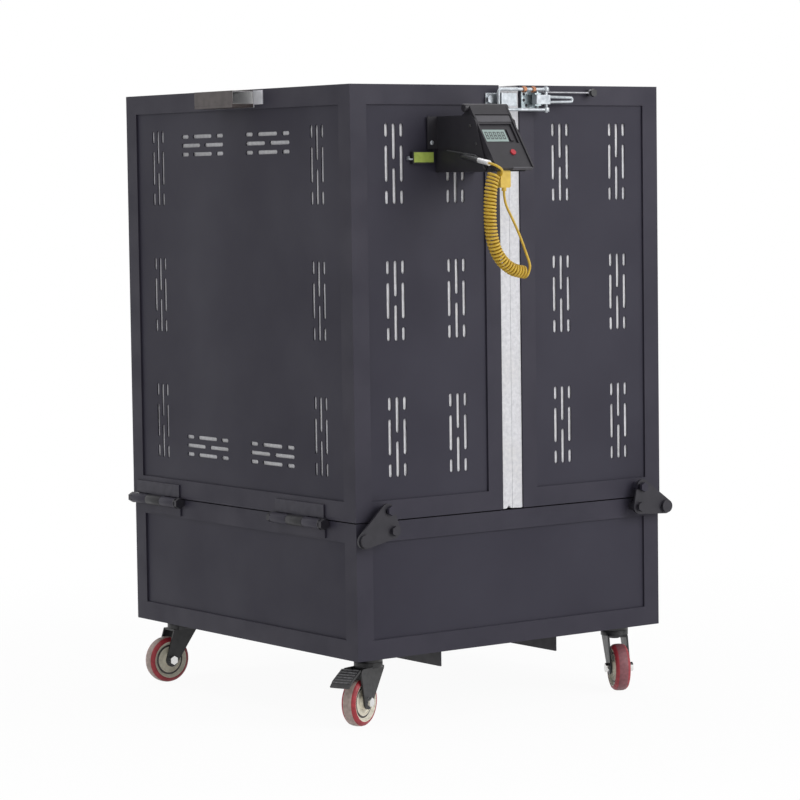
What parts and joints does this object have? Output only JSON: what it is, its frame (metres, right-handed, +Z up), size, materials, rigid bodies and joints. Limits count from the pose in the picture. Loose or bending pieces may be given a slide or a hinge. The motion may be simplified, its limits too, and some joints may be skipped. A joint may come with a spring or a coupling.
{
  "type": "gas kiln",
  "caption": "Gas-fired fibre-lined kiln on swivel casters; the slotted hood splits in two halves that swing aside, with a seam latch and a clip-on thermometer.",
  "frame": {"origin": "on the floor, under the centre of the cabinet's plan, midway between the four casters' swivels", "axes": "+Z up, +X to the right along the front face, +Y from the front face to the rear"},
  "size_m": [0.682, 0.8727, 0.964],
  "materials": {
    "black_plastic": "moulded, fine grain",
    "brake_black": "ribbed pedal",
    "brass": "machined",
    "cast_burner": "rough cast",
    "caster_black": "black",
    "dark_bolt": "dark painted steel",
    "display": "grey-green display window",
    "fibre": "soft white ceramic fibre",
    "floor_board": "matt fibre board",
    "frame_paint": "satin powder coat, anthracite",
    "galvanised": "zinc plated",
    "handle_steel": "brownish grey paint outside, bare inside",
    "kiln_ceramic": "fired kiln ware",
    "pipe_steel": "plain steel",
    "probe_steel": "probe sleeve",
    "red_plastic": "red button",
    "sheet_paint": "satin powder coat on sheet, anthracite",
    "wheel_tread": "wheel: grey-cream tread, red edge rings and cream hub",
    "yellow_cord": "yellow insulated curly wire",
    "yellow_plug": "yellow moulded plug"
  },
  "bodies": {
    "base": {"base_frame": "frame_paint", "base_panels": "sheet_paint", "base_floor_plate": "pipe_steel", "floor_boards": "floor_board", "kiln_posts": "kiln_ceramic", "kiln_shelf": "kiln_ceramic", "base_cross_bars": "frame_paint", "under_base_bearers": "frame_paint", "burner_tubes": "cast_burner", "gas_manifold": "pipe_steel", "gas_valve_body": "brass", "flame_valve_body": "brass", "gas_inlet": "brass", "base_hinge_leaves": "frame_paint", "pivot_bolts": "dark_bolt", "caster_plates": "caster_black"},
    "hood_left": {"hood_left_frame": "frame_paint", "hood_left_end_panels": "sheet_paint", "hood_left_side_panel": "sheet_paint", "hood_left_roof": "sheet_paint", "hood_left_wall_lining": "fibre", "hood_left_roof_lining": "fibre", "hood_left_hinge_leaves": "frame_paint", "hood_left_handle": "handle_steel", "meter_bracket": "black_plastic", "meter_case": "black_plastic", "meter_window": "display", "thermocouple_probe": "probe_steel", "cord_probe_lead": "yellow_cord", "cord_coil": "yellow_cord", "cord_plug_lead": "yellow_cord", "cord_plug": "yellow_plug", "latch_keeper": "galvanised"},
    "hood_right": {"hood_right_frame": "frame_paint", "hood_right_end_panels": "sheet_paint", "hood_right_side_panel": "sheet_paint", "hood_right_roof": "sheet_paint", "hood_right_wall_lining": "fibre", "hood_right_roof_lining": "fibre", "hood_right_hinge_leaves": "frame_paint", "hood_right_handle": "handle_steel", "latch_base": "galvanised"},
    "catch_left": {"catch_left": "dark_bolt"},
    "catch_right": {"catch_right": "dark_bolt"},
    "latch_lever": {"latch_lever": "galvanised"},
    "latch_loop": {"latch_loop": "galvanised"},
    "latch_stay": {"latch_stay_rod": "galvanised"},
    "meter_button": {"meter_button": "red_plastic"},
    "gas_valve_lever": {"gas_valve_lever": "red_plastic"},
    "flame_valve_button": {"flame_valve_button": "black_plastic"},
    "caster_front_left_fork": {"caster_front_left_fork": "caster_black"},
    "caster_front_left_wheel": {"caster_front_left_wheel": "wheel_tread"},
    "caster_front_left_pedal": {"caster_front_left_pedal": "brake_black"},
    "caster_rear_left_fork": {"caster_rear_left_fork": "caster_black"},
    "caster_rear_left_wheel": {"caster_rear_left_wheel": "wheel_tread"},
    "caster_front_right_fork": {"caster_front_right_fork": "caster_black"},
    "caster_front_right_wheel": {"caster_front_right_wheel": "wheel_tread"},
    "caster_rear_right_fork": {"caster_rear_right_fork": "caster_black"},
    "caster_rear_right_wheel": {"caster_rear_right_wheel": "wheel_tread"},
    "caster_rear_right_pedal": {"caster_rear_right_pedal": "brake_black"}
  },
  "joints": [
    {"name": "caster_front_left_swivel", "type": "hinge", "parent": "base", "child": "caster_front_left_fork", "pos_m": [-0.245, -0.265, 0.09], "axis": [0, 0, 1], "continuous": true},
    {"name": "caster_front_left_roll", "type": "hinge", "parent": "caster_front_left_fork", "child": "caster_front_left_wheel", "pos_m": [-0.27066, -0.27621, 0.0375], "axis": [0.4003, -0.9164, 0], "continuous": true},
    {"name": "caster_front_left_brake", "type": "hinge", "parent": "caster_front_left_fork", "child": "caster_front_left_pedal", "pos_m": [-0.28349, -0.28181, 0.0835], "axis": [0.4003, -0.9164, 0], "range_deg": [0, 20]},
    {"name": "caster_rear_left_swivel", "type": "hinge", "parent": "base", "child": "caster_rear_left_fork", "pos_m": [-0.245, 0.265, 0.09], "axis": [0, 0, 1], "continuous": true},
    {"name": "caster_rear_left_roll", "type": "hinge", "parent": "caster_rear_left_fork", "child": "caster_rear_left_wheel", "pos_m": [-0.273, 0.265, 0.0375], "axis": [0, -1, 0], "continuous": true},
    {"name": "caster_front_right_swivel", "type": "hinge", "parent": "base", "child": "caster_front_right_fork", "pos_m": [0.245, -0.265, 0.09], "axis": [0, 0, 1], "continuous": true},
    {"name": "caster_front_right_roll", "type": "hinge", "parent": "caster_front_right_fork", "child": "caster_front_right_wheel", "pos_m": [0.23238, -0.28999, 0.0375], "axis": [0.8926, -0.4509, 0], "continuous": true},
    {"name": "caster_rear_right_swivel", "type": "hinge", "parent": "base", "child": "caster_rear_right_fork", "pos_m": [0.245, 0.265, 0.09], "axis": [0, 0, 1], "continuous": true},
    {"name": "caster_rear_right_roll", "type": "hinge", "parent": "caster_rear_right_fork", "child": "caster_rear_right_wheel", "pos_m": [0.22075, 0.279, 0.0375], "axis": [-0.5, -0.866, 0], "continuous": true},
    {"name": "caster_rear_right_brake", "type": "hinge", "parent": "caster_rear_right_fork", "child": "caster_rear_right_pedal", "pos_m": [0.20863, 0.286, 0.0835], "axis": [-0.5, -0.866, 0], "range_deg": [0, 20]},
    {"name": "hood_left_hinge", "type": "hinge", "parent": "base", "child": "hood_left", "pos_m": [-0.307, 0, 0.306], "axis": [0, -1, 0], "range_deg": [0, 90]},
    {"name": "hood_right_hinge", "type": "hinge", "parent": "base", "child": "hood_right", "pos_m": [0.307, 0, 0.306], "axis": [0, 1, 0], "range_deg": [0, 90]},
    {"name": "catch_left_swing", "type": "hinge", "parent": "base", "child": "catch_left", "pos_m": [-0.2425, -0.331, 0.299], "axis": [0, -1, 0], "range_deg": [-9, 60]},
    {"name": "catch_right_swing", "type": "hinge", "parent": "base", "child": "catch_right", "pos_m": [0.2425, -0.331, 0.299], "axis": [0, 1, 0], "range_deg": [0, 69]},
    {"name": "latch_lever_swing", "type": "hinge", "parent": "hood_right", "child": "latch_lever", "pos_m": [0.044, -0.329, 0.942], "axis": [0, 0, -1], "range_deg": [0, 100]},
    {"name": "latch_loop_swing", "type": "hinge", "parent": "latch_lever", "child": "latch_loop", "pos_m": [0.06, -0.331, 0.942], "axis": [0, 0, -1], "range_deg": [-111, 0]},
    {"name": "latch_stay_lift", "type": "hinge", "parent": "hood_right", "child": "latch_stay", "pos_m": [0.158, -0.3228, 0.9531], "axis": [0, 1, 0], "range_deg": [0, 70]},
    {"name": "meter_button_press", "type": "slide", "parent": "hood_left", "child": "meter_button", "axis": [0, 0.8221, -0.5693], "range_m": [0, 0.0015], "stiffness_N_per_m": 400},
    {"name": "gas_valve_turn", "type": "hinge", "parent": "base", "child": "gas_valve_lever", "pos_m": [0, 0.337, 0.167], "axis": [0, 0, 1], "range_deg": [0, 90]},
    {"name": "flame_valve_press", "type": "slide", "parent": "base", "child": "flame_valve_button", "axis": [-1, 0, 0], "range_m": [0, 0.004], "stiffness_N_per_m": 1200}
  ],
  "couplings": [
    {"joint": "latch_loop_swing", "follows": "latch_lever_swing", "ratio": -1.1}
  ]
}
